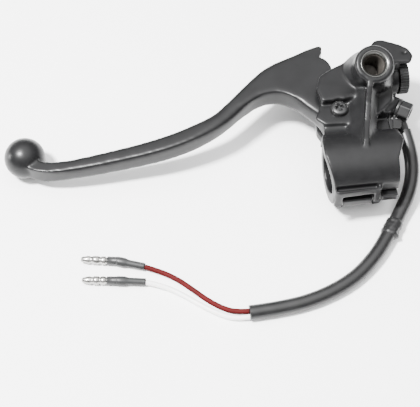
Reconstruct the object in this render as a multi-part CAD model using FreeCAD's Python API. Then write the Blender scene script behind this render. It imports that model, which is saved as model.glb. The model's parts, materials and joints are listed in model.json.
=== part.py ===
import FreeCAD, Part
import math
import os

# Motorcycle clutch lever in its handlebar perch, with clutch switch and wiring harness.
# Millimetres. The origin is the centre of the handlebar bore; +X runs along the bar towards
# the middle of the handlebar, +Y forward, +Z up, parallel to the lever's pivot.

V = FreeCAD.Vector

# --- driving dimensions ---------------------------------------------------------------------
TABLE_Z = -20.0  # what the part lies on

BAR_R = 11.1  # 22 mm handlebar with its clearance
BARREL_R = 16.0
BARREL_X0, BARREL_X1 = -16.0, 14.0  # the gripping length
RELIEF_R = 12.2  # the bore is relieved beyond it
SPLIT = 0.6  # half of the gap between perch and cap

PIVOT_X, PIVOT_Y = -7.2, 24.7
PIVOT_R = 3.0  # shoulder of the pivot screw
BUSH_BORE_R, BUSH_R = 3.05, 4.0
EYE_R = 8.5  # lever eye round the pivot

ROOT_Z0, ROOT_Z1 = -2.2, 9.0  # thickness of the lever's root
SLOT_Z0, SLOT_Z1 = -2.6, 9.4  # slot in the perch that it swings in
SLOT_Y = 15.8  # rear wall of the slot
WALL_X = 3.2  # side wall that stops the released lever
FLOOR_Z0 = -7.5  # underside of the perch
DECK_Z, PLATE_Z = 12.0, 15.5  # the ear's top and the raised plate's top

BALL = V(-156.2, 30.8, -10.2)
BALL_R = 9.8
NIPPLE_X, NIPPLE_Y, NIPPLE_R = -14.1, 50.8, 4.1  # seat of the inner cable's end
NIPPLE_DEPTH = 8.4  # it opens downwards
LOBE_X, LOBE_Y, LOBE_R = -14.1, 52.4, 8.8

MIRROR_TILT = 22.0  # degrees that the mirror boss leans back
MIRROR_TOP = V(9.7, 36.0, 29.5)
MIRROR_R = 9.2
MIRROR_TAP_R = 4.4  # M10 x 1.25 tapping bore
MIRROR_DEPTH = 17.0
MIRROR_CHAMFER_R, MIRROR_CHAMFER_DEPTH = 6.25, 2.2

ADJ_Y, ADJ_Z = 47.5, 2.8  # axis of the cable adjuster, along X
ADJ_R = 4.0
ADJ_X0, ADJ_X1 = 13.0, 31.4
ADJ_BOSS_R, ADJ_BOSS_X = 7.5, 26.2
WHEEL_X0, WHEEL_X1, WHEEL_R = 26.6, 30.9, 8.2
HOUSING_R, HOUSING_DEPTH = 3.2, 6.8  # seat of the cable's outer housing
CABLE_R = 1.3

SWITCH_X0, SWITCH_X1 = 5.2, 15.6
SWITCH_Y0, SWITCH_Y1 = 29.4, 40.4
SWITCH_TOP = 7.0
SWITCH_GAP = 0.2
PLUNGER_Y, PLUNGER_Z, PLUNGER_R = 36.0, 3.4, 1.8
PLUNGER_TIP_X = -2.15
CORE_X1 = 20.0  # right flank of the perch
EAR_X1 = 5.4  # right end of the frame that the cap hooks into

CAP_BOLT_X, CAP_BOLT_Y = 5.0, 16.8
CAP_LUG_Z = -9.0

SLEEVE_D = 6.8
WIRE_D = 2.4
EXIT = V(24.8, 19.1, -2.8)  # where the harness leaves its grommet

# Routes of the harness, each a list of corners for a smooth cord.
SLEEVE_ROUTE = [
    (24.8, 19.1, -2.8), (26.1, 10.6, -5.2), (26.0, 0.8, -9.6), (22.8, -8.6, -13.4),
    (16.2, -18.4, -15.6), (8.6, -28.8, -15.9), (0.2, -39.4, -16.2), (-11.6, -49.4, -16.5),
    (-27.6, -56.4, -16.6), (-44.6, -59.6, -16.6), (-60.5, -60.0, -16.6),
]
RED_ROUTE = [
    (-60.5, -58.6, -17.8), (-66.6, -57.9, -18.6), (-72.6, -54.9, -18.8), (-78.4, -50.3, -18.8),
    (-84.2, -44.4, -18.8), (-90.4, -38.4, -18.8), (-97.6, -33.6, -18.6), (-104.6, -30.6, -18.0),
]
WHITE_ROUTE = [
    (-60.5, -61.4, -17.8), (-66.8, -61.3, -18.6), (-73.6, -58.2, -18.8), (-81.0, -53.0, -18.8),
    (-88.6, -46.8, -18.8), (-96.6, -41.4, -18.6), (-104.8, -38.5, -18.0),
]
TERMINALS = {  # colour: rear end of the insulator, front end of it, tip of the bullet
    "red": (V(-104.6, -30.6, -17.8), V(-117.0, -26.2, -17.8), V(-133.2, -23.2, -17.9)),
    "white": (V(-104.8, -38.5, -17.8), V(-117.8, -36.3, -17.8), V(-133.4, -34.0, -17.9)),
}
INSULATOR_R, BULLET_R = 2.2, 1.95


# --- helpers --------------------------------------------------------------------------------
def box(x0, x1, y0, y1, z0, z1):
    return Part.makeBox(x1 - x0, y1 - y0, z1 - z0, V(x0, y0, z0))


def rod(start, end, radius):
    along = end - start
    return Part.makeCylinder(radius, along.Length, start, along)


def tube(start, end, outer, inner):
    return rod(start, end, outer).cut(rod(start, end, inner))


def rounded_edges(points, radii, closed):
    """Straight runs through points, with a tangent arc of radii[i] at corner i."""
    count = len(points)
    starts, ends, arcs = [], [], []
    for i, corner in enumerate(points):
        if not closed and i in (0, count - 1) or not radii[i]:
            starts.append(corner)
            ends.append(corner)
            arcs.append(None)
            continue
        back = (points[i - 1] - corner).normalize()
        ahead = (points[(i + 1) % count] - corner).normalize()
        half_turn = (math.pi - back.getAngle(ahead)) / 2
        reach = radii[i] * math.tan(half_turn)
        inward = (back + ahead).normalize()
        middle = corner + inward * (radii[i] / math.cos(half_turn) - radii[i])
        starts.append(corner + back * reach)
        ends.append(corner + ahead * reach)
        arcs.append(Part.Arc(starts[i], middle, ends[i]).toShape())
    edges = []
    for i in range(count):
        if arcs[i]:
            edges.append(arcs[i])
        following = (i + 1) % count
        if (closed or i < count - 1) and (starts[following] - ends[i]).Length > 1e-6:
            edges.append(Part.LineSegment(ends[i], starts[following]).toShape())
    return edges


def slab(outline, z0, z1, radius=0.0, radii=None):
    """A flat plate with the given outline and rounded corners."""
    points = [V(x, y, z0) for x, y in outline]
    wire = Part.Wire(rounded_edges(points, radii or [radius] * len(points), closed=True))
    return Part.Face(wire).extrude(V(0, 0, z1 - z0))


def profile(outline, x0, x1):
    """A plate with its outline in Y and Z, as thick as x0 to x1."""
    points = [V(x0, y, z) for y, z in outline]
    return Part.Face(Part.makePolygon(points + points[:1])).extrude(V(x1 - x0, 0, 0))


def hexagon(across_flats, start, end):
    """A hexagonal bar from start to end."""
    along = (end - start).normalize()
    side = along.cross(V(0, 0, 1) if abs(along.z) < 0.9 else V(1, 0, 0)).normalize()
    up = along.cross(side)
    radius = across_flats / math.sqrt(3)
    points = []
    for i in range(6):
        angle = math.radians(60 * i)
        points.append(start + side * (radius * math.cos(angle)) + up * (radius * math.sin(angle)))
    return Part.Face(Part.makePolygon(points + points[:1])).extrude(end - start)


def spline(points, z):
    curve = Part.BSplineCurve()
    curve.interpolate([V(x, y, z) for x, y in points])
    return curve.toShape()


def join(shapes):
    return shapes[0].multiFuse(shapes[1:]).removeSplitter()


def cord(name, route, diameter):
    """A tube along straight runs joined by the largest arcs that the runs allow."""
    points = [V(*p) for p in route]
    radii = [0.0] * len(points)
    for i in range(1, len(points) - 1):
        back, ahead = points[i - 1] - points[i], points[i + 1] - points[i]
        half_turn = (math.pi - back.getAngle(ahead)) / 2
        radii[i] = 0.45 * min(back.Length, ahead.Length) / math.tan(half_turn)
    path = Part.Wire(rounded_edges(points, radii, closed=False))
    circle = Part.Wire(Part.Circle(points[0], points[1] - points[0], diameter / 2).toShape())
    solid = path.makePipeShell([circle], True, False)
    share = solid.Volume / (math.pi * diameter**2 / 4 * path.Length)
    arcs = ", ".join(f"{r:.0f}" for r in radii[1:-1])
    print(f"{name}: length {path.Length:.1f} mm, volume share {share:.4f}, radii {arcs}")
    return solid


# --- lever ----------------------------------------------------------------------------------
def lever():
    """Blade, root and ball in one casting, with the cable's nipple seat and the pivot eye."""
    front = [
        (-153.0, 29.5), (-146.8, 24.0), (-138.0, 23.2), (-122.0, 24.1), (-105.4, 25.5),
        (-85.7, 28.2), (-70.7, 32.6), (-62.8, 36.4), (-53.1, 44.1), (-43.2, 52.6),
        (-36.9, 57.1), (-28.9, 60.6), (-19.6, 63.9), (-9.6, 66.9),
    ]
    rear = [
        (PIVOT_X - 7.0, 19.9), (-17.9, 27.2), (-21.1, 30.8), (-24.5, 35.3), (-28.2, 38.8),
        (-34.3, 41.3), (-39.4, 41.2), (-45.2, 39.2), (-54.6, 32.4), (-63.9, 26.4),
        (-72.8, 22.9), (-86.5, 19.5), (-106.0, 17.6), (-120.0, 16.9), (-138.0, 16.8),
        (-149.0, 18.8), (-156.0, 22.6),
    ]
    lobe_end = V(LOBE_X + LOBE_R, LOBE_Y, -30)
    lobe_top = V(LOBE_X + 6.6, LOBE_Y + 5.85, -30)
    notch = V(-10.0, 60.2, -30)
    edges = [
        spline(front, -30),
        Part.Arc(V(-9.6, 66.9, -30), V(-8.1, 66.3, -30), V(-7.9, 64.7, -30)).toShape(),
        Part.LineSegment(V(-7.9, 64.7, -30), V(-8.3, 62.6, -30)).toShape(),
        Part.LineSegment(V(-8.3, 62.6, -30), notch).toShape(),
        Part.LineSegment(notch, lobe_top).toShape(),
        Part.Arc(lobe_top, V(LOBE_X + 8.3, LOBE_Y + 2.9, -30), lobe_end).toShape(),
        Part.LineSegment(lobe_end, V(-1.7, 31.2, -30)).toShape(),
        Part.LineSegment(V(-1.7, 31.2, -30), V(rear[0][0], rear[0][1], -30)).toShape(),
        spline(rear, -30),
        Part.LineSegment(V(-156.0, 22.6, -30), V(-153.0, 29.5, -30)).toShape(),
    ]
    outline = Part.Face(Part.Wire(edges)).extrude(V(0, 0, 60))
    eye = Part.makeCylinder(EYE_R, ROOT_Z1 - ROOT_Z0, V(PIVOT_X, PIVOT_Y, ROOT_Z0))
    top = [
        (5.0, ROOT_Z1), (-33.0, ROOT_Z1), (-41.0, 8.6), (-52.0, 7.4), (-64.0, 5.8),
        (-75.0, 4.2), (-90.0, 2.0), (-106.0, -0.3), (-131.0, -3.2), (-147.0, -4.6), (-160.0, -5.6),
    ]
    bottom = [
        (-160.0, -14.4), (-147.0, -13.6), (-131.0, -12.2), (-106.0, -10.0), (-86.0, -7.8),
        (-66.0, -5.4), (-54.0, -3.9), (-42.0, -2.6), (-33.0, ROOT_Z0), (5.0, ROOT_Z0),
    ]
    side = [V(x, 0, z) for x, z in top + bottom]
    height = Part.Face(Part.makePolygon(side + side[:1])).extrude(V(0, 80, 0))
    blade = outline.common(height)
    body = join([blade, eye, Part.makeSphere(BALL_R, BALL)])
    body = body.cut(Part.makeCylinder(BUSH_R, 30, V(PIVOT_X, PIVOT_Y, -15)))
    seat = Part.makeCylinder(NIPPLE_R, NIPPLE_DEPTH + 10, V(NIPPLE_X, NIPPLE_Y, ROOT_Z0 - 10))
    way_in = box(NIPPLE_X, 5, NIPPLE_Y - 1.3, NIPPLE_Y + 1.3, ROOT_Z0 - 1, ROOT_Z0 + 6.6)
    return body.cut(seat).cut(way_in)


def pivot_bush():
    return tube(V(PIVOT_X, PIVOT_Y, ROOT_Z0 - 0.1), V(PIVOT_X, PIVOT_Y, ROOT_Z1 + 0.1),
                BUSH_R, BUSH_BORE_R)


def phillips(centre, span, depth):
    """The two crossed slots of a screw's recess, to be cut from a head's top at centre."""
    arm = 1.1
    x, y, z = centre
    return join([
        box(x - span, x + span, y - arm / 2, y + arm / 2, z - depth, z + 1),
        box(x - arm / 2, x + arm / 2, y - span, y + span, z - depth, z + 1),
    ])


def pivot_screw():
    """Pan head, plain shoulder and threaded tail; the part stands on the tail's end."""
    head_z = DECK_Z + 2.5
    head = Part.makeCylinder(4.0, 1.7, V(PIVOT_X, PIVOT_Y, DECK_Z))
    crown = Part.makeCone(4.0, 3.0, 0.8, V(PIVOT_X, PIVOT_Y, DECK_Z + 1.7))
    shank = rod(V(PIVOT_X, PIVOT_Y, TABLE_Z), V(PIVOT_X, PIVOT_Y, DECK_Z), PIVOT_R)
    return join([shank, head, crown]).cut(phillips((PIVOT_X, PIVOT_Y, head_z), 2.6, 1.6))


def ring_under(x, y, z_top, thick, outer, inner):
    return tube(V(x, y, z_top - thick), V(x, y, z_top), outer, inner)


def nut(x, y, z_top, height, across_flats, bore):
    solid = hexagon(across_flats, V(x, y, z_top - height), V(x, y, z_top))
    return solid.cut(Part.makeCylinder(bore, height, V(x, y, z_top - height)))


# --- perch ----------------------------------------------------------------------------------
def mirror_axis():
    lean = math.radians(MIRROR_TILT)
    return V(0, -math.sin(lean), math.cos(lean))


def mirror_boss():
    up = mirror_axis()
    neck = MIRROR_TOP - up * 9
    foot = MIRROR_TOP - up * 19
    lip = Part.makeCone(MIRROR_R, MIRROR_R - 1.0, 1.0, MIRROR_TOP - up, up)
    return [rod(foot, MIRROR_TOP - up, MIRROR_R), lip, Part.makeCone(13.0, MIRROR_R, 10, foot, neck - foot)]


def mirror_hole():
    up = mirror_axis()
    bottom = MIRROR_TOP - up * MIRROR_DEPTH
    chamfer = MIRROR_TOP - up * MIRROR_CHAMFER_DEPTH
    return [
        rod(bottom, MIRROR_TOP + up, MIRROR_TAP_R),
        Part.makeCone(MIRROR_TAP_R, MIRROR_CHAMFER_R, MIRROR_CHAMFER_DEPTH, chamfer, up),
    ]


RIB_START = V(-0.4, -1.6, 0)
RIB_ALONG = V(0.223, 0.975, 0).normalize()
RIB_SIDE = V(RIB_ALONG.y, -RIB_ALONG.x, 0)


def rib():
    """The web that runs along the neck's crest, from the barrel up to the mirror boss."""
    start, along, side = RIB_START, RIB_ALONG, RIB_SIDE
    heights = [(0, 15.8), (5, 17.3), (15, 17.8), (23, 20.5), (29, 25.5), (31.4, 26.5)]
    points = [start + along * s + V(0, 0, z) - side * 1.3 for s, z in [(0, 8.0)] + heights + [(31.4, 8.0)]]
    return Part.Face(Part.makePolygon(points + points[:1])).extrude(side * 2.6)


def neck():
    """The steep-sided saddle between the barrel and the mirror boss."""
    sections = []
    for along, crest, left, right in (
        (-1.0, 15.2, 5.5, 4.6), (6.0, 16.2, 6.6, 4.8), (15.0, 16.4, 8.2, 5.2),
        (23.0, 17.0, 9.0, 5.6), (29.0, 18.0, 9.5, 6.0), (36.0, 20.0, 9.5, 6.0),
    ):
        base = RIB_START + RIB_ALONG * along
        outline = [(-left, 7), (-left, 11), (-1.6, crest), (1.6, crest), (right, 11), (right, 7)]
        points = [base + RIB_SIDE * across + V(0, 0, z) for across, z in outline]
        sections.append(Part.makePolygon(points + points[:1]))
    return Part.makeLoft(sections, True, True)


def perch_plates():
    """The ear over the lever, the raised plate on it and the floor under it."""
    ear = [
        (-19.3, 21.4), (-15.0, 17.2), (-4.0, 16.6), (7.0, 16.6), (10.3, 20.3), (18.8, 27.6),
        (CORE_X1, 31.0), (CORE_X1, 44.0), (14.8, 56.2), (4.3, 51.4), (-6.0, 47.0),
        (-11.0, 44.0), (-14.6, 38.0), (-15.4, 28.4),
    ]
    raised = [
        (-4.0, 28.4), (-14.8, 28.4), (-16.4, 36.0), (-13.6, 43.4), (-6.4, 47.5),
        (14.6, 56.4), (15.5, 40.0), (5.0, 30.0),
    ]
    floor = [
        (-14.2, 18.6), (-8.0, 16.6), (-1.8, 16.6), (-1.8, 22.8), (17.0, 22.8), (CORE_X1, 25.5),
        (CORE_X1, 40.5), (ADJ_BOSS_X, 42.0), (ADJ_BOSS_X, 53.0), (17.0, 57.0), (4.3, 51.4),
        (-6.0, 47.0), (-12.0, 43.6), (-15.8, 36.0), (-16.4, 24.0),
    ]
    return [
        slab(ear, SLOT_Z1, DECK_Z, radius=1.2),
        slab(raised, DECK_Z - 0.5, PLATE_Z, radii=[0, 1.2, 5.0, 5.0, 2.0, 0.5, 0.5, 0]),
        slab(floor, FLOOR_Z0, SLOT_Z0, radius=1.2),
    ]


def adjuster_guard():
    """The block over and in front of the adjuster's wheel, with a small slot in its top."""
    outline = [
        (12.0, 40.0), (21.5, 40.0), (23.6, 46.0), (30.6, 45.0), (33.0, 49.0),
        (31.6, 53.6), (27.6, 56.8), (20.0, 60.4), (16.2, 60.4), (12.0, 55.6),
    ]
    block = slab(outline, FLOOR_Z0, 17.0, radii=[1, 1, 1, 1.2, 1.8, 3, 3, 1.5, 1.5, 1])
    block = block.cut(box(ADJ_BOSS_X, 40, 30, 56.4, FLOOR_Z0 - 1, 15.0))
    return block.cut(box(28.0, 30.0, 50.6, 51.7, 16.0, 18.0))


def clip_lug():
    """Where the wire clip's bolt screws in; its axis points to the right and back."""
    return rod(CLIP_BOLT - CLIP_AXIS * 11.0, CLIP_BOLT - CLIP_AXIS * 4.0, 4.8)


CLIP_AXIS = V(0.82, -0.57, 0).normalize()
CLIP_BOLT = V(25.4, 25.4, 4.8)  # middle of its hexagonal head


def hook_frame():
    """The frame behind the barrel that the cap's tongue hooks into: a rail and two ears."""
    rail = [(BARREL_X0, -12.0), (BARREL_X0, -17.6), (EAR_X1, -16.9), (EAR_X1, -12.0)]
    left = [(BARREL_X0, -13.0), (BARREL_X0, -17.6), (-12.2, -17.5), (-12.2, -13.0)]
    right = [(2.2, -13.0), (2.2, -17.0), (EAR_X1, -16.9), (EAR_X1, -13.0)]
    return [
        slab(rail, 2.2, 6.3, radii=[0, 2.2, 1.2, 0]),
        slab(left, -6.0, 2.5, radii=[0, 2.2, 0, 0]).cut(box(-40, 40, -15.9, 0, -20, -SPLIT)),
        slab(right, -4.8, 2.5, radii=[0, 0, 1.2, 0]).cut(box(-40, 40, -15.9, 0, -20, -SPLIT)),
    ]


def barrel():
    """Upper half of the clamp, widest over the bar and narrower at the back."""
    plan = [
        (-16.4, 16.0), (-18.9, 7.0), (-19.2, -1.0), (-17.8, -8.0), (BARREL_X0, -14.0),
        (BARREL_X0, -20.0), (BARREL_X1, -20.0), (BARREL_X1, -6.5), (17.6, 1.5), (17.6, 16.0),
    ]
    round_bar = Part.makeCylinder(BARREL_R, 60, V(-30, 0, 0), V(1, 0, 0))
    return round_bar.common(slab(plan, SPLIT, 20, radii=[0, 3, 3, 3, 3, 0, 0, 3, 2, 0]))


def perch_body():
    solids = [
        barrel(),
        # The wall behind the slot, filled up between the barrel and the ear.
        profile([(8.0, SPLIT), (8.0, 13.8), (11.5, 11.0), (14.0, 10.2), (18.5, 10.2),
                 (18.5, SLOT_Z1), (SLOT_Y, SLOT_Z1), (SLOT_Y, SPLIT)], BARREL_X0, WALL_X),
        box(WALL_X - 5.0, 16.5, 8, 24, SPLIT, 4.5),
        slab([(WALL_X, 22.8), (17.0, 22.8), (CORE_X1, 25.5), (CORE_X1, 43.0), (WALL_X, 43.0)],
             FLOOR_Z0, SLOT_Z1 + 0.5),
        rod(V(11.0, ADJ_Y, ADJ_Z), V(ADJ_BOSS_X, ADJ_Y, ADJ_Z), ADJ_BOSS_R),
        box(11.0, ADJ_BOSS_X, ADJ_Y - 6.0, ADJ_Y + 7.4, FLOOR_Z0, ADJ_Z),
        neck(),
        rib(),
        clip_lug(),
        adjuster_guard(),
    ]
    solids += hook_frame()
    solids += perch_plates()
    # The boss's flared foot stays behind the plates' front edge.
    front = slab([(-40, 47.0), (-6.4, 47.5), (14.6, 56.4), (14.6, 90), (-40, 90)], -10, 20)
    solids += [solid.cut(front) for solid in mirror_boss()]
    body = join(solids)
    cuts = [
        Part.makeCylinder(BAR_R, 80, V(-40, 0, 0), V(1, 0, 0)),
        Part.makeCylinder(RELIEF_R, 10, V(BARREL_X1, 0, 0), V(1, 0, 0)),
        Part.makeCylinder(RELIEF_R, 10, V(BARREL_X0 - 10, 0, 0), V(1, 0, 0)),
        box(-40, WALL_X, SLOT_Y, 80, SLOT_Z0, SLOT_Z1),  # slot for the lever
        box(-40, 11.0, 43.2, 80, SLOT_Z0, SLOT_Z1),  # way in for the cable
        box(SWITCH_X0 - SWITCH_GAP, SWITCH_X1 + SWITCH_GAP, SWITCH_Y0 - 0.3, SWITCH_Y1 + 0.3,
            FLOOR_Z0 - 1, SWITCH_TOP + 0.3),
        rod(V(0, PLUNGER_Y, PLUNGER_Z), V(SWITCH_X0 + 1, PLUNGER_Y, PLUNGER_Z), PLUNGER_R + 0.3),
        rod(V(10.9, ADJ_Y, ADJ_Z), V(60, ADJ_Y, ADJ_Z), ADJ_R),
        rod(V(PIVOT_X, PIVOT_Y, FLOOR_Z0 - 1), V(PIVOT_X, PIVOT_Y, DECK_Z + 1), PIVOT_R),
        rod(V(PIVOT_X, PIVOT_Y, DECK_Z), V(PIVOT_X, PIVOT_Y, DECK_Z + 9), 4.2),
        rod(V(CAP_BOLT_X, CAP_BOLT_Y, 0), V(CAP_BOLT_X, CAP_BOLT_Y, 9.5), 3.0),
        rod(CLIP_BOLT - CLIP_AXIS * 10, CLIP_BOLT, 2.5),
        rod(V(17.9, 35.0, FLOOR_Z0 - 1), V(17.9, 35.0, FLOOR_Z0 + 7), 1.5),
        box(BARREL_X0 + 0.8, 3.8, -16.2, -14.3, 4.6, 8.0),  # groove in front of the rail
        box(-12.2, 2.2, -20, -13.4, -1, 2.2),  # window for the cap's tongue
        box(EAR_X1, 20, -20, -14.6, -1, 7.2),
    ]
    pocket = [(12.4, 2.0), (14.6, 2.0), (14.6, 7.6), (11.4, 9.2)]  # in the left end face
    cuts.append(profile(pocket, BARREL_X0 - 4, BARREL_X0 + 4))
    for cut in cuts + mirror_hole():
        body = body.cut(cut)
    return body


# --- clamp ----------------------------------------------------------------------------------
def clamp_cap():
    """Lower half of the clamp: a tongue that hooks in at the back and a bolted lug in front."""
    x0, x1 = BARREL_X0 + 0.1, BARREL_X1 - 0.3
    half = Part.makeCylinder(BARREL_R - 0.2, x1 - x0, V(x0, 0, 0), V(1, 0, 0))
    half = half.cut(box(-40, 40, -40, 40, -SPLIT, 40))
    foot = [(-12.4, -9.8), (-9.0, TABLE_Z), (9.0, TABLE_Z), (12.4, -9.8)]
    solids = [
        half,
        profile(foot, -12.0, -8.5),
        profile(foot, 5.5, 9.0),
        box(-11.8, 1.8, -17.0, -12.0, -6.2, -1.7),
        box(6.2, x1, -17.0, -13.0, -4.6, -SPLIT),
        slab([(-1.4, 8.0), (11.4, 8.0), (11.4, 22.2), (-1.4, 22.2)], CAP_LUG_Z, -SPLIT,
             radii=[0, 0, 4, 2]),
    ]
    body = join(solids)
    body = body.cut(Part.makeCylinder(BAR_R, 80, V(-40, 0, 0), V(1, 0, 0)))
    spot_face = Part.makeCylinder(6.4, 11, V(CAP_BOLT_X, CAP_BOLT_Y, CAP_LUG_Z - 11))
    hole = Part.makeCylinder(3.2, 20, V(CAP_BOLT_X, CAP_BOLT_Y, CAP_LUG_Z - 5))
    for x_start, x_end in ((-20.0, -11.8), (1.8, 5.8)):  # room for the perch's frame
        body = body.cut(box(x_start, x_end, -30, -15.5, -6.5, 0))
    body = body.cut(box(-11.8, 1.8, -30, -13.7, -1.7, 0))
    lever_eye = Part.makeCylinder(EYE_R + 0.4, 20, V(PIVOT_X, PIVOT_Y, ROOT_Z0 - 0.5))
    return body.cut(spot_face).cut(hole).cut(lever_eye)


def clamp_bolt():
    seat = V(CAP_BOLT_X, CAP_BOLT_Y, CAP_LUG_Z - 1.2)
    head = hexagon(10.0, seat - V(0, 0, 4), seat)
    return join([head, rod(seat, V(CAP_BOLT_X, CAP_BOLT_Y, 9.0), 3.0)])


# --- cable adjuster -------------------------------------------------------------------------
def cable_adjuster():
    start, end = V(ADJ_X0, ADJ_Y, ADJ_Z), V(ADJ_X1, ADJ_Y, ADJ_Z)
    body = rod(start, end, ADJ_R - 0.05).cut(rod(start, end, CABLE_R))
    return body.cut(rod(V(ADJ_X1 - HOUSING_DEPTH, ADJ_Y, ADJ_Z), end, HOUSING_R))


def adjuster_wheel():
    """Thumb wheel on the adjuster, with shallow grip flutes round its rim."""
    body = tube(V(WHEEL_X0, ADJ_Y, ADJ_Z), V(WHEEL_X1, ADJ_Y, ADJ_Z), WHEEL_R, ADJ_R + 0.03)
    flutes = []
    for i in range(36):
        angle = math.radians(10 * i)
        y, z = ADJ_Y + (WHEEL_R + 0.2) * math.cos(angle), ADJ_Z + (WHEEL_R + 0.2) * math.sin(angle)
        flutes.append(rod(V(WHEEL_X0 - 1, y, z), V(WHEEL_X1 + 1, y, z), 0.5))
    return body.cut(Part.makeCompound(flutes))


# --- clutch switch --------------------------------------------------------------------------
def switch_body():
    body = box(SWITCH_X0, SWITCH_X1, SWITCH_Y0, SWITCH_Y1, FLOOR_Z0, SWITCH_TOP)
    y, z = PLUNGER_Y, PLUNGER_Z
    guide = rod(V(SWITCH_X0 - 1, y, z), V(SWITCH_X0 + 2, y, z), PLUNGER_R + 0.1)
    chamber = rod(V(SWITCH_X0 + 1.2, y, z), V(13.0, y, z), 3.0)
    return body.cut(guide).cut(chamber)


def switch_plunger():
    """A pin with a round tip, and the collar that keeps it in the switch."""
    y, z = PLUNGER_Y, PLUNGER_Z
    centre = V(PLUNGER_TIP_X + PLUNGER_R, y, z)
    return join([
        Part.makeSphere(PLUNGER_R, centre),
        rod(centre, V(9.0, y, z), PLUNGER_R),
        rod(V(7.1, y, z), V(8.1, y, z), 2.7),
    ])


def switch_cover():
    outline = [(3.4, 27.4), (19.6, 27.4), (19.6, 42.4), (3.4, 42.4)]
    plate = slab(outline, FLOOR_Z0 - 1.8, FLOOR_Z0, radius=2.0)
    return plate.cut(Part.makeCylinder(1.6, 10, V(17.9, 35.0, FLOOR_Z0 - 5)))


def switch_screw():
    top = V(17.9, 35.0, FLOOR_Z0 - 1.8)
    head = Part.makeCone(2.0, 2.7, 1.6, top - V(0, 0, 1.6))
    shank = rod(top, V(17.9, 35.0, FLOOR_Z0 + 6), 1.45)
    slots = phillips((17.9, 35.0, top.z - 0.7), 1.5, 2.0)
    return join([head, shank]).cut(slots)


# --- harness --------------------------------------------------------------------------------
def harness_grommet():
    """Rubber boot on the perch's flank that turns the wires back into their sleeve."""
    outline = [(16.7, 16.2), (20.4, 16.2), (20.8, 19.0), (22.8, 20.6), (22.8, 22.6), (16.7, 22.6)]
    block = slab(outline, -6.2, 3.6, radii=[1.2, 1.2, 1.0, 0.5, 0.5, 1.2])
    along = (V(*SLEEVE_ROUTE[1]) - EXIT).normalize()
    elbow = EXIT - along * 3.2
    arm = rod(V(21.0, elbow.y, elbow.z), elbow, 2.6)
    return join([block, arm, Part.makeSphere(2.7, elbow), rod(elbow, EXIT, 2.7)])


def wire_clip():
    """Bent steel strap: an eye under the bolt's head and a tongue over the grommet."""
    eye_start, eye_end = CLIP_BOLT - CLIP_AXIS * 4.0, CLIP_BOLT - CLIP_AXIS * 2.7
    eye = rod(eye_start, eye_end, 4.8)
    tongue = [(19.2, 23.6), (22.9, 26.6), (24.0, 24.6), (21.4, 16.0), (17.8, 16.6), (18.7, 21.8)]
    tongue = slab(tongue, 3.7, 4.9, radius=0.5)
    clip = join([eye, tongue])
    clip = clip.cut(rod(CLIP_BOLT - CLIP_AXIS * 20, CLIP_BOLT, 2.6))
    clip = clip.cut(rod(CLIP_BOLT - CLIP_AXIS * 2.7, CLIP_BOLT + CLIP_AXIS * 8, 6.0))
    return clip.cut(rod(CLIP_BOLT - CLIP_AXIS * 20, eye_start, 6.0))


def clip_bolt():
    head = hexagon(8.0, CLIP_BOLT - CLIP_AXIS * 2.7, CLIP_BOLT + CLIP_AXIS * 2.7)
    return join([head, rod(CLIP_BOLT - CLIP_AXIS * 9.5, CLIP_BOLT, 2.5)])


def harness_tape():
    """Two turns of tape where the sleeve leaves the perch's side."""
    a, b = V(*SLEEVE_ROUTE[4]), V(*SLEEVE_ROUTE[5])
    middle, along = a + (b - a) * 0.7, (b - a).normalize()
    return tube(middle - along * 4.5, middle + along * 4.5, SLEEVE_D / 2 + 0.6, SLEEVE_D / 2)


def insulator(colour):
    rear, front, tip = TERMINALS[colour]
    return rod(rear, front, INSULATOR_R)


def bullet(colour):
    """Crimped bullet terminal with a waist behind its round nose."""
    rear, front, tip = TERMINALS[colour]
    along = (tip - front).normalize()
    nose = tip - along * BULLET_R
    waist = nose - along * 2.4
    return join([
        rod(front, waist, BULLET_R),
        rod(waist, nose, BULLET_R - 0.45),
        Part.makeCylinder(BULLET_R, 1.2, nose - along * 1.2, along),
        Part.makeCone(BULLET_R, 0.9, BULLET_R, nose, along),
    ])


PARTS = {
    "perch_body": perch_body,
    "clamp_cap": clamp_cap,
    "clamp_bolt": clamp_bolt,
    "clamp_washer": lambda: ring_under(CAP_BOLT_X, CAP_BOLT_Y, CAP_LUG_Z, 1.2, 6.0, 3.15),
    "lever": lever,
    "pivot_bush": pivot_bush,
    "pivot_screw": pivot_screw,
    "pivot_washer": lambda: ring_under(PIVOT_X, PIVOT_Y, FLOOR_Z0, 1.0, 5.8, 3.05),
    "pivot_nut": lambda: nut(PIVOT_X, PIVOT_Y, FLOOR_Z0 - 1.0, 6.0, 10.0, 3.0),
    "cable_adjuster": cable_adjuster,
    "adjuster_wheel": adjuster_wheel,
    "switch_body": switch_body,
    "switch_plunger": switch_plunger,
    "switch_cover": switch_cover,
    "switch_screw": switch_screw,
    "harness_grommet": harness_grommet,
    "wire_clip": wire_clip,
    "clip_bolt": clip_bolt,
    "harness_sleeve": lambda: cord("harness_sleeve", SLEEVE_ROUTE, SLEEVE_D),
    "harness_tape": harness_tape,
    "red_wire": lambda: cord("red_wire", RED_ROUTE, WIRE_D),
    "white_wire": lambda: cord("white_wire", WHITE_ROUTE, WIRE_D),
    "red_insulator": lambda: insulator("red"),
    "white_insulator": lambda: insulator("white"),
    "red_bullet": lambda: bullet("red"),
    "white_bullet": lambda: bullet("white"),
}

os.makedirs("parts", exist_ok=True)
for name, make in PARTS.items():
    shape = make()
    print(f"{name}: {len(shape.Solids)} solid, valid {shape.isValid()}, {shape.Volume:.0f} mm3")
    shape.exportStep(f"parts/{name}.step")
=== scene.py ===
import json
import math

import bmesh
import bpy
from mathutils import Matrix, Vector


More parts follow.
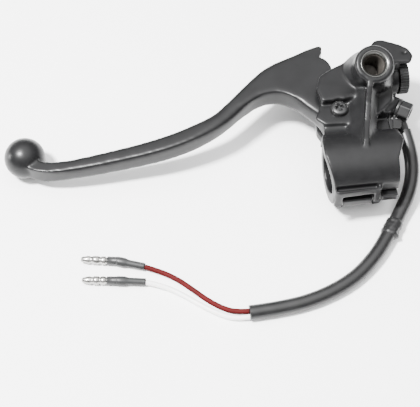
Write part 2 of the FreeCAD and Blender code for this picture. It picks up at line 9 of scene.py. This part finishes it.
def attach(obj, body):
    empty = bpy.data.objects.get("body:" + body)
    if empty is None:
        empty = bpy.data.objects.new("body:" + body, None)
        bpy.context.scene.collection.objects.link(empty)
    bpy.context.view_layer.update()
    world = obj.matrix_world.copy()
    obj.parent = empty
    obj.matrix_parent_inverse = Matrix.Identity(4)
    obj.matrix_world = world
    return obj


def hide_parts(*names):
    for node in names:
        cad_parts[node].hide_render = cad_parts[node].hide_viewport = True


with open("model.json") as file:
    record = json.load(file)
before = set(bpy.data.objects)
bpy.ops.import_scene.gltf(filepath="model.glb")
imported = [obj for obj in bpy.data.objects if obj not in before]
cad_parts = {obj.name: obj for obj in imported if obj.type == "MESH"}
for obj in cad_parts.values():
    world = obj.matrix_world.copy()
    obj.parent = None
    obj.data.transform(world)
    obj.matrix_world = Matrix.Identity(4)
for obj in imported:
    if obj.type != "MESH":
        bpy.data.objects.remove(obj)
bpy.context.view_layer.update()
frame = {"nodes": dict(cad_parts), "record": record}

# Looks of a motorcycle clutch lever in its handlebar perch. Sizes are in millimetres
# and become metres where a mesh, a curve, the camera or a light is made.

MM = 0.001
TABLE_Z = -20.0  # what the part lies on
TABLE_SIZE = 3000.0


def metres(point):
    return Vector(point) * MM


# --- camera ---------------------------------------------------------------------------------
CAMERA_AT = (-101.8, -251.7, 387.1)
CAMERA_RIGHT = Vector((0.9925, -0.1219, 0.0))
CAMERA_FORWARD = Vector((0.0646, 0.5260, -0.8480))
CAMERA_LENS, CAMERA_SENSOR = 86.4, 36.0


def make_camera():
    data = bpy.data.cameras.new("camera")
    data.lens = CAMERA_LENS
    data.sensor_width = CAMERA_SENSOR
    camera = bpy.data.objects.new("camera", data)
    bpy.context.scene.collection.objects.link(camera)
    back = -CAMERA_FORWARD.normalized()
    right = CAMERA_RIGHT.normalized()
    up = back.cross(right)
    turn = Matrix((right, up, back)).transposed().to_4x4()
    camera.matrix_world = Matrix.Translation(metres(CAMERA_AT)) @ turn
    bpy.context.scene.camera = camera


# --- meshes ---------------------------------------------------------------------------------
def link(name, data):
    piece = bpy.data.objects.new(name, data)
    bpy.context.scene.collection.objects.link(piece)
    return piece


def mesh_piece(name, points, faces, smooth=True):
    """A mesh object from points in millimetres."""
    mesh = bpy.data.meshes.new(name)
    mesh.from_pydata([metres(p) for p in points], [], faces)
    work = bmesh.new()
    work.from_mesh(mesh)
    bmesh.ops.recalc_face_normals(work, faces=work.faces)
    work.to_mesh(mesh)
    work.free()
    mesh.polygons.foreach_set("use_smooth", [smooth] * len(mesh.polygons))
    return link(name, mesh)


BOX_FACES = [(0, 1, 2, 3), (4, 5, 6, 7), (0, 1, 5, 4), (1, 2, 6, 5), (2, 3, 7, 6), (3, 0, 4, 7)]


def box_piece(name, low, high):
    """A box between two corners."""
    (x0, y0, z0), (x1, y1, z1) = low, high
    points = [(x, y, z) for z in (z0, z1) for x, y in ((x0, y0), (x1, y0), (x1, y1), (x0, y1))]
    return mesh_piece(name, points, BOX_FACES, smooth=False)


def apply_modifiers(piece):
    graph = bpy.context.evaluated_depsgraph_get()
    mesh = bpy.data.meshes.new_from_object(piece.evaluated_get(graph))
    piece.modifiers.clear()
    piece.data = mesh
    return piece


def axes_across(axis):
    """Two directions at right angles to axis and to each other."""
    axis = Vector(axis).normalized()
    helper = Vector((0, 0, 1)) if abs(axis.z) < 0.9 else Vector((1, 0, 0))
    side = axis.cross(helper).normalized()
    return side, axis.cross(side)


def lathe(name, start, axis, profile, count=48, closed=False, sides=None):
    """A body of revolution: profile holds (distance along axis, radius) pairs."""
    axis = Vector(axis).normalized()
    side, up = axes_across(axis)
    points, faces = [], []
    for along, radius in profile:
        for i in range(count):
            turn = 2 * math.pi * i / count
            reach = radius * (sides(turn) if sides else 1.0)
            points.append(Vector(start) + axis * along
                          + (side * math.cos(turn) + up * math.sin(turn)) * reach)
    rings = len(profile)
    for ring in range(rings if closed else rings - 1):
        below, above = ring * count, (ring + 1) % rings * count
        for i in range(count):
            j = (i + 1) % count
            faces.append((below + i, below + j, above + j, above + i))
    if not closed:
        faces.append(tuple(range(count)))
        faces.append(tuple(range((rings - 1) * count, rings * count)))
    return mesh_piece(name, points, faces)


def thread_rows(length, pitch, steps=8):
    """Rows for threaded(): distance and the depth of the thread there."""
    rows = []
    count = int(length / pitch * steps)
    for i in range(count + 1):
        along = length * i / count
        ease = min(1.0, along / pitch, (length - along) / pitch)
        rows.append((along, ease))
    return rows


def threaded(name, start, axis, length, pitch, minor, major, ends=(), inward=False, count=40):
    """A cylinder with a screw thread; ends are further (distance, radius) rings at its far end."""
    axis = Vector(axis).normalized()
    side, up = axes_across(axis)
    points, faces = [], []
    base = major if inward else minor
    height = (minor - major) if inward else (major - minor)
    rows = [(along, base, height * ease) for along, ease in thread_rows(length, pitch)]
    rows += [(along, radius, 0.0) for along, radius in ends]
    for along, radius, depth in rows:
        for i in range(count):
            turn = 2 * math.pi * i / count
            phase = (along / pitch - i / count) % 1.0
            reach = radius + depth * (1 - abs(2 * phase - 1))
            points.append(Vector(start) + axis * along
                          + (side * math.cos(turn) + up * math.sin(turn)) * reach)
    for row in range(len(rows) - 1):
        below, above = row * count, (row + 1) * count
        for i in range(count):
            j = (i + 1) % count
            faces.append((below + i, below + j, above + j, above + i))
    faces.append(tuple(range((len(rows) - 1) * count, len(rows) * count)))
    if not inward:
        faces.append(tuple(range(count)))
    return mesh_piece(name, points, faces)


def cad_copy(name, node):
    """A copy of a CAD node's mesh with its split vertices joined."""
    mesh = frame["nodes"][node].data.copy()
    mesh.materials.clear()
    work = bmesh.new()
    work.from_mesh(mesh)
    bmesh.ops.remove_doubles(work, verts=work.verts, dist=2e-6)
    work.to_mesh(mesh)
    work.free()
    return link(name, mesh)


def subtract(piece, cutter):
    """Cuts one piece with another, which is then removed."""
    cut = piece.modifiers.new("cut", "BOOLEAN")
    cut.operation = "DIFFERENCE"
    cut.solver = "EXACT"
    cut.object = cutter
    apply_modifiers(piece)
    bpy.data.objects.remove(cutter)


def voxel_remesh(piece, voxel):
    """Replaces a piece's mesh by an even, dense one."""
    remesh = piece.modifiers.new("remesh", "REMESH")
    remesh.mode = "VOXEL"
    remesh.voxel_size = voxel * MM
    remesh.use_smooth_shade = True
    apply_modifiers(piece)


def smooth_by(piece, passes, weight=None):
    """Rounds the edges of a dense mesh, by weight(point in mm) where it is given."""
    smooth = piece.modifiers.new("smooth", "SMOOTH")
    smooth.factor = 0.5
    smooth.iterations = passes
    if weight:
        group = piece.vertex_groups.new(name="soft")
        for vertex in piece.data.vertices:
            amount = weight(vertex.co / MM)
            if amount > 0:
                group.add([vertex.index], min(1.0, amount), "REPLACE")
        smooth.vertex_group = "soft"
    apply_modifiers(piece)
    piece.vertex_groups.clear()


def casting(name, node, voxel, cutters=()):
    """A dense mesh of a CAD node, ready to have its edges rounded."""
    piece = cad_copy(name, node)
    for cutter in cutters:
        subtract(piece, cutter)
    voxel_remesh(piece, voxel)
    return piece


# --- materials ------------------------------------------------------------------------------
def surface(name, color, roughness, metallic=0.0, tint=0.15, patches=120.0, uneven=0.06,
            grain=2500.0, bump=0.1, depth=0.00002, wear=0.0, wear_color=None,
            subsurface=0.0, shine=0.5):
    """A material with patchy colour, uneven gloss, a fine grain and, where asked, worn edges."""
    material = bpy.data.materials.new(name)
    material.use_nodes = True
    nodes, links = material.node_tree.nodes, material.node_tree.links
    shader = nodes["Principled BSDF"]
    shader.inputs["Metallic"].default_value = metallic
    shader.inputs["Specular IOR Level"].default_value = shine
    shader.inputs["Subsurface Weight"].default_value = subsurface
    shader.inputs["Subsurface Scale"].default_value = 0.0006
    place = nodes.new("ShaderNodeTexCoord")

    def noise(scale, detail):
        node = nodes.new("ShaderNodeTexNoise")
        node.inputs["Scale"].default_value = scale
        node.inputs["Detail"].default_value = detail
        links.new(place.outputs["Object"], node.inputs["Vector"])
        return node.outputs["Fac"]

    def spread(value, low, high):
        node = nodes.new("ShaderNodeMapRange")
        node.inputs["From Min"].default_value = 0.3
        node.inputs["From Max"].default_value = 0.7
        node.inputs["To Min"].default_value = low
        node.inputs["To Max"].default_value = high
        links.new(value, node.inputs["Value"])
        return node.outputs["Result"]

    def blend_colors(amount, first, second):
        node = nodes.new("ShaderNodeMix")
        node.data_type = "RGBA"
        links.new(amount, node.inputs["Factor"])
        for socket, value in (("A", first), ("B", second)):
            slot = [s for s in node.inputs if s.name == socket and s.type == "RGBA"][0]
            if isinstance(value, tuple):
                slot.default_value = value
            else:
                links.new(value, slot)
        return [s for s in node.outputs if s.type == "RGBA"][0]

    dark = tuple(c * (1 - tint) for c in color) + (1.0,)
    light = tuple(min(1.0, c * (1 + tint)) for c in color) + (1.0,)
    painted = blend_colors(spread(noise(patches, 5.0), 0.0, 1.0), dark, light)
    if wear:
        geometry = nodes.new("ShaderNodeNewGeometry")
        ramp = nodes.new("ShaderNodeMapRange")
        ramp.inputs["From Min"].default_value = 0.54
        ramp.inputs["From Max"].default_value = 0.62
        ramp.inputs["To Max"].default_value = wear
        links.new(geometry.outputs["Pointiness"], ramp.inputs["Value"])
        scuffs = nodes.new("ShaderNodeMath")
        scuffs.operation = "MULTIPLY"
        links.new(ramp.outputs["Result"], scuffs.inputs[0])
        links.new(spread(noise(patches * 6, 6.0), 0.2, 1.0), scuffs.inputs[1])
        painted = blend_colors(scuffs.outputs["Value"], painted, tuple(wear_color) + (1.0,))
    links.new(painted, shader.inputs["Base Color"])
    gloss = noise(patches * 2.5, 6.0)
    links.new(spread(gloss, roughness - uneven, roughness + uneven), shader.inputs["Roughness"])
    relief = nodes.new("ShaderNodeBump")
    relief.inputs["Strength"].default_value = bump
    relief.inputs["Distance"].default_value = depth
    links.new(noise(grain, 4.0), relief.inputs["Height"])
    links.new(relief.outputs["Normal"], shader.inputs["Normal"])
    return material


def make_materials():
    bare = (0.26, 0.26, 0.255)
    made = {
        "satin_black_casting": surface(
            "satin_black_casting", (0.006, 0.006, 0.0063), 0.36, tint=0.2, grain=1400.0,
            bump=0.14, depth=0.00004, wear=0.35, wear_color=(0.06, 0.06, 0.06), shine=0.2),
        "black_lever": surface(
            "black_lever", (0.0065, 0.0065, 0.0068), 0.32, tint=0.15, uneven=0.03, grain=700.0,
            bump=0.02, depth=0.00003, shine=0.22),
        "zinc_steel": surface(
            "zinc_steel", bare, 0.34, metallic=1.0, tint=0.2, grain=3500.0, bump=0.25,
            wear=0.5, wear_color=(0.45, 0.45, 0.44)),
        # Dull bare thread whose colour is darkened well below bare metal: painted shade of the
        # inside of the mirror's hole.
        "dull_thread_painted_shade": surface(
            "dull_thread_painted_shade", (0.055, 0.05, 0.044), 0.5, metallic=0.7, tint=0.25, grain=3000.0,
            bump=0.3, wear=0.3, wear_color=(0.16, 0.15, 0.135)),
        "worn_chamfer": surface(
            "worn_chamfer", (0.1, 0.1, 0.096), 0.28, metallic=0.9, tint=0.3, grain=2500.0,
            bump=0.3),
        "bush_brass": surface("bush_brass", (0.55, 0.42, 0.2), 0.3, metallic=1.0, bump=0.15),
        "black_steel": surface(
            "black_steel", (0.02, 0.02, 0.0205), 0.36, metallic=0.4, bump=0.2,
            wear=0.6, wear_color=(0.2, 0.2, 0.19), shine=0.4),
        "wheel_plastic": surface(
            "wheel_plastic", (0.008, 0.008, 0.0083), 0.45, grain=1800.0, bump=0.2,
            depth=0.00003, shine=0.25),
        "switch_plastic": surface(
            "switch_plastic", (0.008, 0.008, 0.0083), 0.48, grain=2200.0, bump=0.3,
            depth=0.00003, shine=0.25),
        "plunger_plastic": surface("plunger_plastic", (0.68, 0.66, 0.6), 0.25, tint=0.05,
                                   subsurface=0.1),
        "black_rubber": surface(
            "black_rubber", (0.008, 0.008, 0.0083), 0.55, tint=0.2, grain=1500.0, bump=0.35,
            depth=0.00004, shine=0.25),
        "black_bolt": surface(
            "black_bolt", (0.008, 0.008, 0.0083), 0.4, tint=0.2, bump=0.2, shine=0.3),
        "worn_screw": surface(
            "worn_screw", (0.01, 0.01, 0.0103), 0.32, tint=0.2, bump=0.15,
            wear=1.0, wear_color=(0.3, 0.3, 0.29), shine=0.4),
        "sleeve_vinyl": surface(
            "sleeve_vinyl", (0.0075, 0.0075, 0.0077), 0.36, tint=0.15, patches=90.0, grain=500.0,
            bump=0.2, depth=0.0001, shine=0.35),
        "tape_black": surface(
            "tape_black", (0.008, 0.008, 0.0083), 0.42, tint=0.3, grain=900.0, bump=0.5,
            depth=0.0001, shine=0.3),
        "red_insulation": surface(
            "red_insulation", (0.052, 0.0045, 0.0046), 0.6, tint=0.2, bump=0.2, subsurface=0.05,
            shine=0.06),
        "white_insulation": surface(
            "white_insulation", (0.8, 0.8, 0.79), 0.35, tint=0.03, bump=0.15, subsurface=0.1),
        "grey_insulator": surface(
            "grey_insulator", (0.02, 0.0203, 0.0206), 0.4, tint=0.2, grain=700.0, bump=0.3,
            depth=0.0001, shine=0.3),
        "tinned_terminal": surface(
            "tinned_terminal", (0.36, 0.355, 0.34), 0.28, metallic=1.0, tint=0.2, patches=400.0,
            bump=0.3, wear=0.4, wear_color=(0.7, 0.7, 0.68)),
    }
    for part in frame["record"]["subparts"]:
        node = frame["nodes"][part["node"]]
        node.data.materials.clear()
        node.data.materials.append(made[part["material_slot"]])
    return made


def finish_piece(piece, body, slot, *nodes, look=None):
    """Gives a new piece its material and its body, and hides the CAD nodes it stands for."""
    piece.data.materials.clear()
    piece.data.materials.append(MATERIALS[look or slot])
    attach(piece, body)
    if nodes:
        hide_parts(*nodes)
    return piece


# --- harness --------------------------------------------------------------------------------
SLEEVE_D, WIRE_D = 6.8, 2.4
SLEEVE_ROUTE = [
    (24.8, 19.1, -2.8), (26.1, 10.6, -5.2), (26.0, 0.8, -9.6), (22.8, -8.6, -13.4),
    (16.2, -18.4, -15.6), (8.6, -28.8, -15.9), (0.2, -39.4, -16.2), (-11.6, -49.4, -16.5),
    (-27.6, -56.4, -16.6), (-44.6, -59.6, -16.6), (-60.5, -60.0, -16.6),
]
RED_ROUTE = [
    (-60.5, -58.6, -17.8), (-66.6, -57.9, -18.6), (-72.6, -54.9, -18.8), (-78.4, -50.3, -18.8),
    (-84.2, -44.4, -18.8), (-90.4, -38.4, -18.8), (-97.6, -33.6, -18.6), (-104.6, -30.6, -18.0),
]
WHITE_ROUTE = [
    (-60.5, -61.4, -17.8), (-66.8, -61.3, -18.6), (-73.6, -58.2, -18.8), (-81.0, -53.0, -18.8),
    (-88.6, -46.8, -18.8), (-96.6, -41.4, -18.6), (-104.8, -38.5, -18.0),
]
TERMINALS = {  # rear end of the insulator, its front end, tip of the bullet
    "red": ((-104.6, -30.6, -17.8), (-117.0, -26.2, -17.8), (-133.2, -23.2, -17.9)),
    "white": ((-104.8, -38.5, -17.8), (-117.8, -36.3, -17.8), (-133.4, -34.0, -17.9)),
}
BULLET_R = 1.95
COLLAR_LENGTH = 4.4  # how far the insulator reaches over the bullet


def route_curve(name, route, diameter):
    curve = bpy.data.curves.new(name, "CURVE")
    curve.dimensions = "3D"
    spline = curve.splines.new("NURBS")
    spline.points.add(len(route) - 1)
    for point, place in zip(spline.points, route):
        point.co = (*metres(place), 1.0)
    spline.order_u = 3
    spline.use_endpoint_u = True
    curve.resolution_u = 16
    curve.bevel_resolution = 8
    curve.bevel_depth = diameter / 2 * MM
    curve.use_fill_caps = True
    return link(name, curve)


def path_points(route):
    """Points along a route's spline, in millimetres."""
    piece = route_curve("path", route, 0.0)
    mesh = bpy.data.meshes.new_from_object(piece)
    points = [vertex.co / MM for vertex in mesh.vertices]
    bpy.data.objects.remove(piece)
    return points


def harness():
    sleeve = route_curve("sleeve", SLEEVE_ROUTE, SLEEVE_D)
    red = route_curve("red_lead", RED_ROUTE, WIRE_D)
    white = route_curve("white_lead", WHITE_ROUTE, WIRE_D)
    finish_piece(sleeve, "perch", "sleeve_vinyl", "harness_sleeve")
    finish_piece(red, "perch", "red_insulation", "red_wire")
    finish_piece(white, "perch", "white_insulation", "white_wire")
    ends = {"red": terminal("red"), "white": terminal("white")}
    tape()


TAPE_PLACE, TAPE_LENGTH, TAPE_TURNS = 0.7, 9.2, 3.0
TAPE_TAIL_TURN = math.pi  # side of the sleeve on which the tape's end stands off


def tape():
    """Tape wound round the sleeve, with its loose end standing off."""
    points = path_points(SLEEVE_ROUTE)
    centre = Vector(SLEEVE_ROUTE[4]).lerp(Vector(SLEEVE_ROUTE[5]), TAPE_PLACE)
    points = [p for p in points if (p - centre).length < TAPE_LENGTH / 2]
    count, rows, faces = 36, [], []
    for step, point in enumerate(points):
        before, after = points[max(0, step - 1)], points[min(len(points) - 1, step + 1)]
        side, up = axes_across(after - before)
        share = step / (len(points) - 1)
        for i in range(count):
            turn = 2 * math.pi * i / count
            winding = (share * TAPE_TURNS + i / count) % 1.0
            layer = 0.3 + 0.28 * min(1.0, winding * 6) - 0.18 * winding
            layer += 0.22 * math.sin(turn * 3 + share * 9.0) * math.sin(turn * 5 - share * 14.0)
            facing = math.cos(turn - TAPE_TAIL_TURN)
            near_end = 1.0 - abs(share - 0.8) / 0.17
            if facing > 0:
                layer += 1.5 * max(0.0, facing * near_end) ** 2
            radius = SLEEVE_D / 2 + (layer if 0 < step < len(points) - 1 else 0.02)
            rows.append(point + (side * math.cos(turn) + up * math.sin(turn)) * radius)
    for row in range(len(points) - 1):
        for i in range(count):
            j = (i + 1) % count
            faces.append((row * count + i, row * count + j, (row + 1) * count + j,
                          (row + 1) * count + i))
    piece = mesh_piece("tape_wrap", rows, faces)
    return finish_piece(piece, "perch", "tape_black", "harness_tape")


def terminal(colour):
    """An insulator with a bulge over the crimp, and the bullet terminal."""
    rear, front, tip = (Vector(p) for p in TERMINALS[colour])
    along = front - rear
    length = along.length
    boot = lathe(f"{colour}_boot", rear, along, [
        (0.0, 1.35), (0.05, 1.6), (0.5, 1.66), (length * 0.58, 1.72), (length * 0.66, 1.95),
        (length * 0.72, 2.19), (length - 0.6, 2.19), (length - 0.1, 2.1), (length, 1.8),
    ], count=40)
    finish_piece(boot, "perch", "grey_insulator", f"{colour}_insulator")
    along = tip - front
    length = along.length
    collar = lathe(f"{colour}_collar", front, along, [
        (-1.4, 1.7), (-1.4, 2.05), (0.0, 2.08), (0.9, 1.97), (COLLAR_LENGTH - 0.1, 1.97),
        (COLLAR_LENGTH, 1.7)], count=40)
    finish_piece(collar, "perch", "grey_insulator")
    bullet = lathe(f"{colour}_bullet_body", front, along, [
        (-0.6, 1.4), (COLLAR_LENGTH - 0.4, 1.45), (COLLAR_LENGTH + 0.5, 1.5),
        (COLLAR_LENGTH + 0.8, 1.9), (COLLAR_LENGTH + 2.6, 1.93), (COLLAR_LENGTH + 2.9, 1.6),
        (COLLAR_LENGTH + 3.5, 1.6), (COLLAR_LENGTH + 3.8, BULLET_R), (length - 5.4, 1.93),
        (length - 5.1, 1.55), (length - 4.4, 1.6), (length - 3.6, 1.86), (length - 0.6, 1.3),
        (length, 0.9)], count=40)
    finish_piece(bullet, "perch", "tinned_terminal", f"{colour}_bullet")
    return [boot, collar, bullet]


# --- castings -------------------------------------------------------------------------------
MIRROR_TILT = math.radians(22.0)  # the mirror boss leans back
MIRROR_UP = Vector((0, -math.sin(MIRROR_TILT), math.cos(MIRROR_TILT)))
MIRROR_TOP = Vector((9.7, 36.0, 29.5))


PIVOT = Vector((-7.2, 24.7, 0.0))  # foot of the lever's pivot
RIB_START = Vector((-0.4, -1.6, 0.0))
RIB_SIDE = Vector((0.975, -0.223, 0.0)).normalized()


def clip(value):
    return max(0.0, min(1.0, value))


def rib_offset(point):
    """Distance of a point to the right of the rib's middle plane."""
    return (point - RIB_START).dot(RIB_SIDE)


def lever():
    """The blade's edges are well rounded, the ball and the lobe's nose hardly."""
    piece = casting("lever_cast", "lever", 0.5)

    def blade(p):
        from_ball = clip((p.x + 146.0) / 12.0)
        from_eye = clip((-12.0 - p.x) / 6.0)
        from_nose = clip(((p - Vector((-9.0, 60.0, 3.4))).length - 9.0) / 6.0)
        return from_ball * from_eye * from_nose

    def root(p):
        return blade(p) * clip((p.x + 75.0) / 15.0) * clip((38.0 - p.y) / 4.0)

    smooth_by(piece, 6)
    smooth_by(piece, 70, blade)
    smooth_by(piece, 160, root)
    return finish_piece(piece, "lever_body", "black_lever", "lever")


def perch():
    socket_cut = lathe("socket_cut", MIRROR_TOP + MIRROR_UP * 1.0, -MIRROR_UP,
                       [(0.0, 7.4), (1.0, 6.55), (2.6, 5.25), (17.9, 5.25)])
    guard_slot = box_piece("guard_slot", (27.8, 50.5, 15.9), (30.2, 51.9, 18.0))
    piece = casting("perch_cast", "perch_body", 0.4, [socket_cut, guard_slot])

    def flare(p):
        near_boss = clip(1.0 - (abs((p - MIRROR_TOP).dot(MIRROR_UP) + 14.0) - 4.0) / 4.0)
        above_deck = clip((p.z - 13.0) / 3.0)
        return near_boss * above_deck

    def shoulders(p):
        """The ear's rear edge and the neck's flanks, clear of the rib's crest."""
        beside_rib = clip((abs(rib_offset(p)) - 1.6) / 1.2)
        above_slot = clip((p.z - 8.2) / 0.8)
        ahead = clip((p.y - 4.0) / 4.0)
        last_y = 27.0 if p.x < -4.0 else 32.0  # the raised plate's edge stays crisp
        off_screw = clip(((p - PIVOT).xy.length - 5.0) / 1.2)
        return beside_rib * above_slot * ahead * clip((last_y - p.y) / 1.5) * off_screw

    smooth_by(piece, 9)
    smooth_by(piece, 30, flare)
    smooth_by(piece, 40, shoulders)
    return finish_piece(piece, "perch", "satin_black_casting", "perch_body")


def cap():
    piece = casting("cap_cast", "clamp_cap", 0.4)
    smooth_by(piece, 8)
    return finish_piece(piece, "perch", "satin_black_casting", "clamp_cap")


def mirror_socket():
    """Bare metal chamfer, and the thread of the mirror's hole, whose dull metal colour is darkened
    further with painted shade of the hole.
    """
    start = MIRROR_TOP - MIRROR_UP * 1.49
    thread = threaded("mirror_thread_wall", start, -MIRROR_UP, 14.5, 1.25, 4.45, 5.0,
                      ends=[(15.0, 4.4), (15.6, 0.4)], inward=True, count=56)
    finish_piece(thread, "perch", "zinc_steel", look="dull_thread_painted_shade")
    chamfer = lathe("mirror_chamfer", MIRROR_TOP, -MIRROR_UP, [
        (0.15, 6.5), (0.1, 6.2), (1.49, 5.0), (2.0, 4.95), (2.0, 5.2), (1.5, 5.4), (0.4, 6.45),
    ], count=56, closed=True)
    finish_piece(chamfer, "perch", "zinc_steel", look="worn_chamfer")


# --- fasteners ------------------------------------------------------------------------------
DECK_Z = 12.0  # the ear's top, where the pivot screw's head sits
SCREW_TURN = math.radians(8.0)
CLIP_AXIS = Vector((0.82, -0.57, 0.0)).normalized()
CLIP_BOLT = Vector((25.4, 25.4, 4.8))  # middle of its hexagonal head
CLIP_HEAD = 5.4  # length of that head


def screw_cross(turn):
    """One tapered arm of the cross recess in the pivot screw's head."""
    points = [Vector((x, y, z)) for z, wide, long in ((12.9, 0.5, 1.2), (15.0, 0.95, 2.7))
              for x, y in ((-long, -wide), (long, -wide), (long, wide), (-long, wide))]
    spin = Matrix.Rotation(turn + SCREW_TURN, 3, "Z")
    return mesh_piece("cross", [PIVOT + spin @ point for point in points], BOX_FACES, smooth=False)


def pivot_screw():
    head = lathe("pivot_head", PIVOT + Vector((0, 0, DECK_Z)), (0, 0, 1), [
        (0.0, 3.0), (0.0, 3.85), (0.15, 4.0), (1.3, 4.0), (1.75, 3.85), (2.1, 3.5), (2.4, 2.7),
        (2.5, 1.6), (2.5, 0.4)], count=64)
    cross = [screw_cross(turn) for turn in (0.0, math.pi / 2)]
    for arm in cross:
        subtract(head, arm)
    voxel_remesh(head, 0.12)
    smooth_by(head, 5)
    tail = threaded("pivot_tail", PIVOT + Vector((0, 0, TABLE_Z)), (0, 0, 1), 13.0, 1.0, 2.6, 2.98,
                    ends=[(13.2, 3.0), (32.0, 3.0)])
    finish_piece(head, "perch", "zinc_steel", "pivot_screw", look="worn_screw")
    finish_piece(tail, "perch", "zinc_steel")


def clip_bolt():
    """A hexagonal head with softened corners on a threaded shank."""
    def hexagon(turn):
        inside = (turn + math.pi / 12) % (math.pi / 3) - math.pi / 6
        return min(1.0 / math.cos(inside) * 0.866, 0.985)

    head = lathe("clip_bolt_head", CLIP_BOLT - CLIP_AXIS * CLIP_HEAD / 2, CLIP_AXIS, [
        (0.0, 2.0), (0.0, 4.4), (0.15, 4.62), (CLIP_HEAD - 0.5, 4.62), (CLIP_HEAD - 0.15, 4.3),
        (CLIP_HEAD, 3.9), (CLIP_HEAD, 3.0), (CLIP_HEAD - 0.4, 2.7), (CLIP_HEAD - 0.5, 0.6)],
        count=96, sides=hexagon)
    head.data.set_sharp_from_angle(angle=math.radians(22.0))
    finish_piece(head, "perch", "black_bolt", "clip_bolt")
    shank = threaded("clip_bolt_shank", CLIP_BOLT - CLIP_AXIS * 9.5, CLIP_AXIS, 6.8, 0.8, 2.1, 2.45)
    finish_piece(shank, "perch", "zinc_steel")


def small_parts():
    """CAD nodes whose shape is right get a fine bevel along their edges."""
    for node, width in (
        ("clamp_bolt", 0.25), ("clamp_washer", 0.15), ("pivot_washer", 0.12), ("pivot_nut", 0.25),
        ("cable_adjuster", 0.2), ("adjuster_wheel", 0.2), ("switch_body", 0.3),
        ("switch_cover", 0.35), ("switch_screw", 0.12), ("pivot_bush", 0.1),
    ):
        bevel = frame["nodes"][node].modifiers.new("bevel", "BEVEL")
        bevel.width = width * MM
        bevel.segments = 3
        bevel.limit_method = "ANGLE"
        bevel.angle_limit = math.radians(40)
        bevel.harden_normals = False
    for name, node, voxel, passes, slot in (
        ("strap", "wire_clip", 0.18, 5, "black_bolt"),
        ("boot", "harness_grommet", 0.3, 10, "black_rubber"),
    ):
        piece = casting(name, node, voxel)
        smooth_by(piece, passes)
        finish_piece(piece, "perch", slot, node)


# --- stage ----------------------------------------------------------------------------------
def table():
    reach = TABLE_SIZE / 2
    corners = [(x, y, TABLE_Z) for x, y in ((-reach, -reach), (reach, -reach), (reach, reach),
                                            (-reach, reach))]
    floor = mesh_piece("table", corners, [(0, 1, 2, 3)])
    floor.data.materials.append(surface(
        "table_paper", (0.93, 0.93, 0.93), 0.7, tint=0.01, patches=8.0, grain=600.0, bump=0.05))


def room():
    """Light from all round, brighter towards the ceiling."""
    world = bpy.data.worlds.new("room")
    bpy.context.scene.world = world
    world.use_nodes = True
    nodes, links = world.node_tree.nodes, world.node_tree.links
    background = nodes["Background"]
    background.inputs["Strength"].default_value = ROOM_STRENGTH
    place = nodes.new("ShaderNodeTexCoord")
    split = nodes.new("ShaderNodeSeparateXYZ")
    ramp = nodes.new("ShaderNodeValToRGB")
    links.new(place.outputs["Generated"], split.inputs["Vector"])
    links.new(split.outputs["Z"], ramp.inputs["Fac"])
    links.new(ramp.outputs["Color"], background.inputs["Color"])
    ramp.color_ramp.elements[0].position = ROOM_RAMP[0][0]
    ramp.color_ramp.elements[1].position = ROOM_RAMP[-1][0]
    for position, value in ROOM_RAMP[1:-1]:
        ramp.color_ramp.elements.new(position)
    for element, (position, value) in zip(ramp.color_ramp.elements, ROOM_RAMP):
        element.color = (value, value, value, 1.0)


def lamps():
    for name, towards, distance, size, power in LIGHTS:
        data = bpy.data.lights.new(name, "AREA")
        data.shape = "DISK"
        data.size = size
        data.energy = power
        light = link(name, data)
        place = LIGHT_TARGET + Vector(towards).normalized() * distance
        aim = (LIGHT_TARGET - place).to_track_quat("-Z", "Y")
        light.matrix_world = Matrix.Translation(place) @ aim.to_matrix().to_4x4()


LIGHT_TARGET = Vector((-0.06, 0.0, 0.0))  # metres
ROOM_STRENGTH = 4.2
# Brightness against the sine of the elevation: dark walls, a bright ceiling.
ROOM_RAMP = [(0.0, 0.05), (0.55, 0.12), (0.75, 0.5), (0.85, 1.0), (1.0, 1.1)]
LIGHTS = [  # name, direction it comes from, distance and size in metres, power in watts
    ("key", (-0.42, -0.05, 0.9), 1.2, 0.2, 75.0),
    ("window", (-0.97, 0.2, 0.12), 1.6, 0.25, 12.0),
]

MATERIALS = make_materials()
make_camera()
harness()
lever()
perch()
cap()
mirror_socket()
pivot_screw()
clip_bolt()
small_parts()
table()
room()
lamps()
